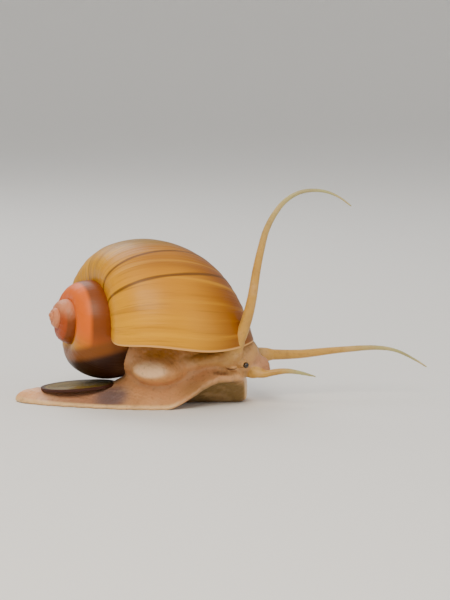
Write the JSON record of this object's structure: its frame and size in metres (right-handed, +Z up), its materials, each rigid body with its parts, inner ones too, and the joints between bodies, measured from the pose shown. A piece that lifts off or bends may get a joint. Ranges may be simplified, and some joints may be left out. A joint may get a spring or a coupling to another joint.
{
  "type": "apple snail",
  "caption": "Life-size golden apple snail, crawling, with its tentacles spread, its shell's lid on the tail and the front of its foot lifted.",
  "frame": {"origin": "on the floor under the middle of the sole", "axes": "+X forward to the head, +Y to the animal's left, +Z up, away from the floor"},
  "size_m": [0.1123, 0.0449, 0.0593],
  "materials": {
    "shell": "satin golden yellow shell with brown growth marks along old lips and a worn, chalky apex",
    "flesh": "moist tan and peach skin, paler at the margins",
    "feelers": "moist golden tan skin, greyer towards the tips",
    "operculum": "satin olive brown horn with growth rings",
    "eye": "wet black"
  },
  "bodies": {
    "root": {"shell": "shell", "foot_tail": "flesh", "foot_middle": "flesh", "foot_front": "flesh", "body_stalk": "flesh", "head": "flesh", "snout": "flesh", "mantle_edge": "flesh", "operculum": "operculum", "tentacle_right_base": "feelers", "tentacle_right_lower": "feelers", "tentacle_right_upper": "feelers", "tentacle_right_tip": "feelers", "tentacle_left_base": "feelers", "tentacle_left_middle": "feelers", "tentacle_left_tip": "feelers", "palp_right": "feelers", "palp_left": "feelers", "eye_stalk_right": "feelers", "eye_stalk_left": "feelers", "siphon": "flesh", "eye_right": "eye", "eye_left": "eye"}
  },
  "joints": []
}
